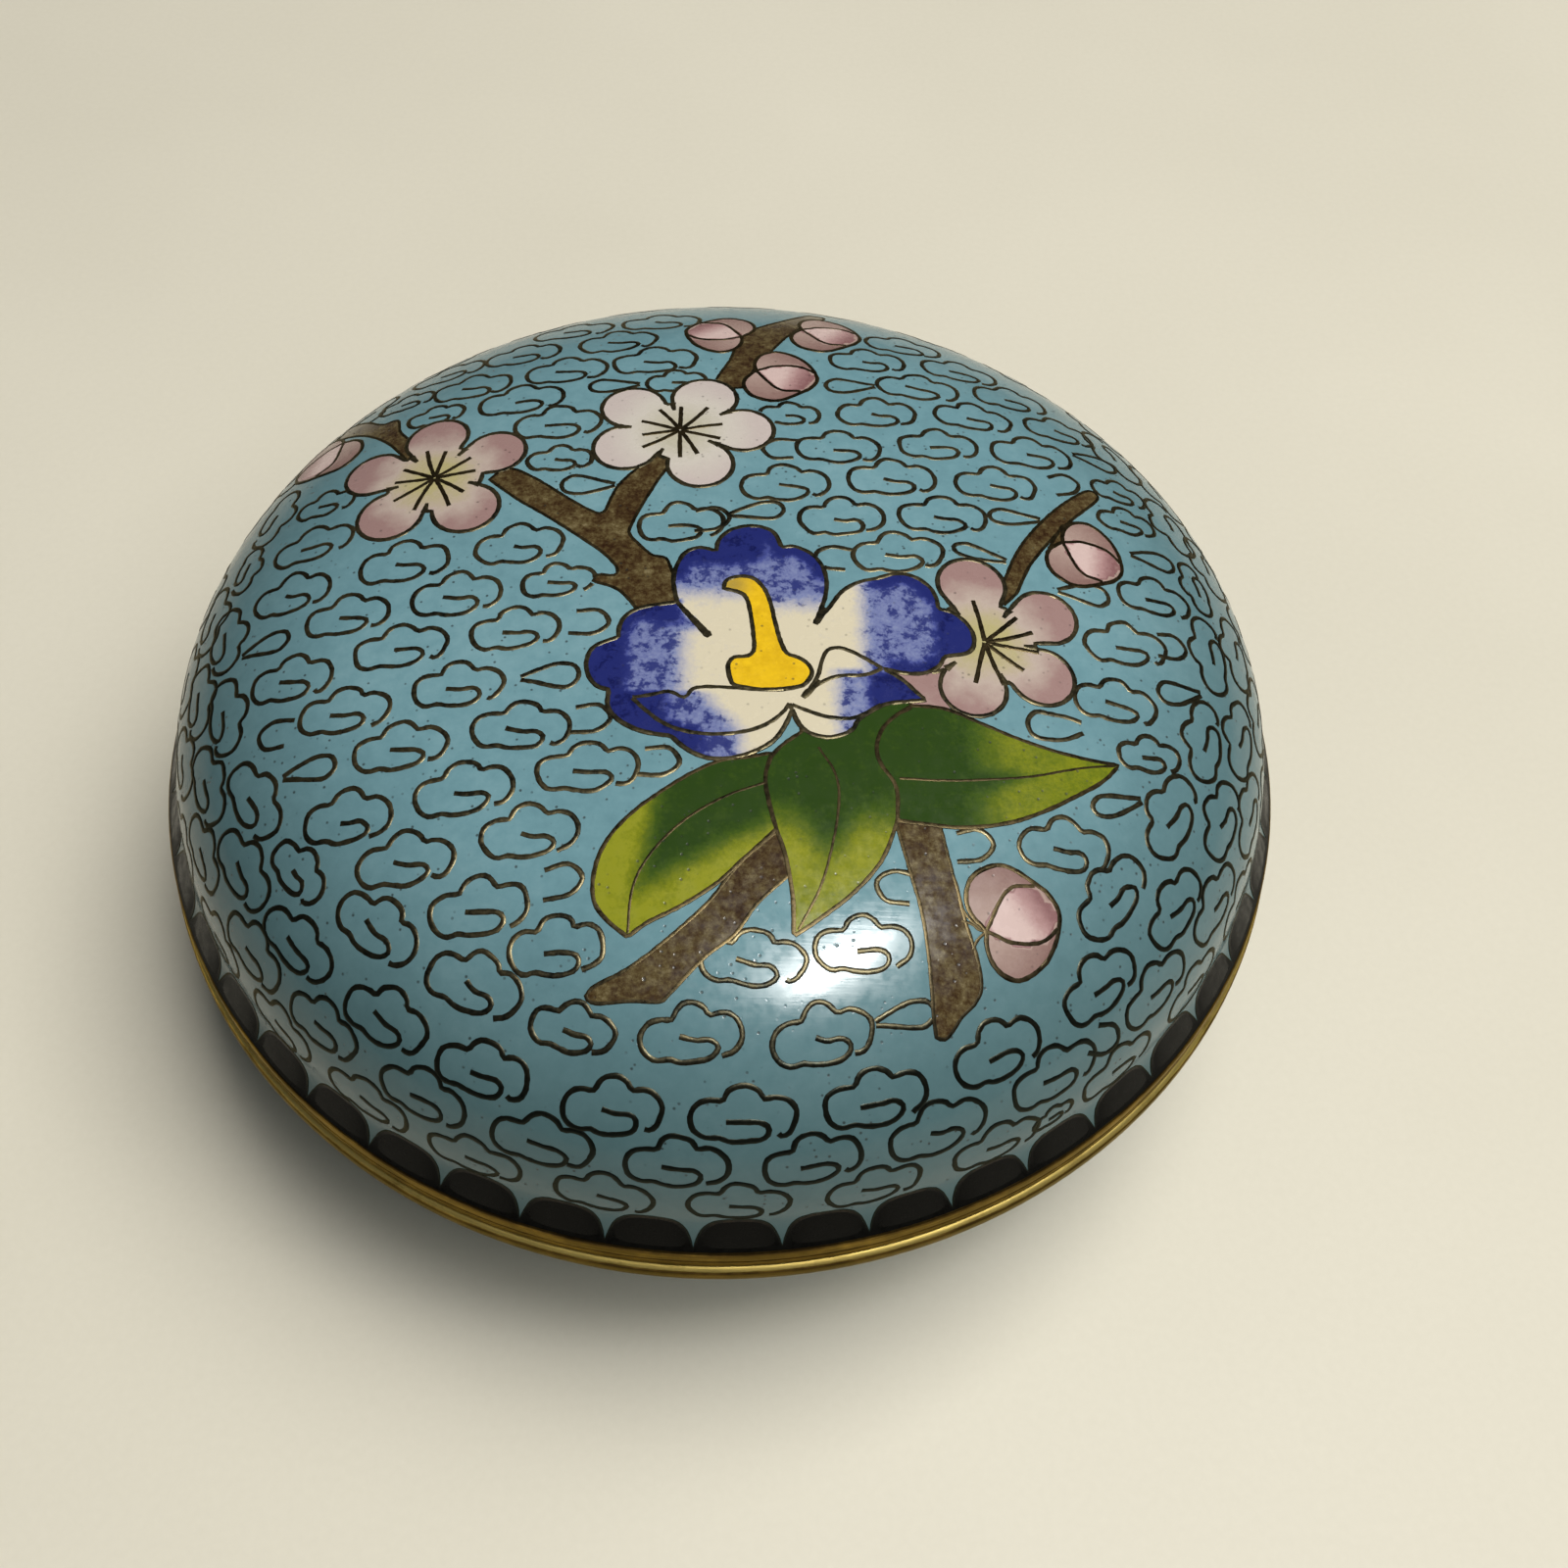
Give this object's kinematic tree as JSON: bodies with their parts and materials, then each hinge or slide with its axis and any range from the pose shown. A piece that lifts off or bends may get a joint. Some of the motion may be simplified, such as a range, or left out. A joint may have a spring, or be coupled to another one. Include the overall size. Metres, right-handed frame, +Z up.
{
  "type": "cloisonne enamel box",
  "caption": "Round low box with a flattened dome lid, both enamelled over copper with wire cells, brass rims at the seam and a ring foot; the lid lifts off.",
  "frame": {"origin": "centre of the foot ring's underside, on the axis the box is turned about", "axes": "+Z up along the turning axis; the lid's picture is read from the -Y side, with +X to its right"},
  "size_m": [0.102, 0.102, 0.0437],
  "materials": {
    "turquoise_enamel": "gloss",
    "gilt_brass": "satin"
  },
  "bodies": {
    "root": {"lid_dome": "turquoise_enamel", "lid_rim": "gilt_brass", "base_rim": "gilt_brass", "base_bowl": "turquoise_enamel", "foot_ring": "gilt_brass"}
  },
  "joints": []
}
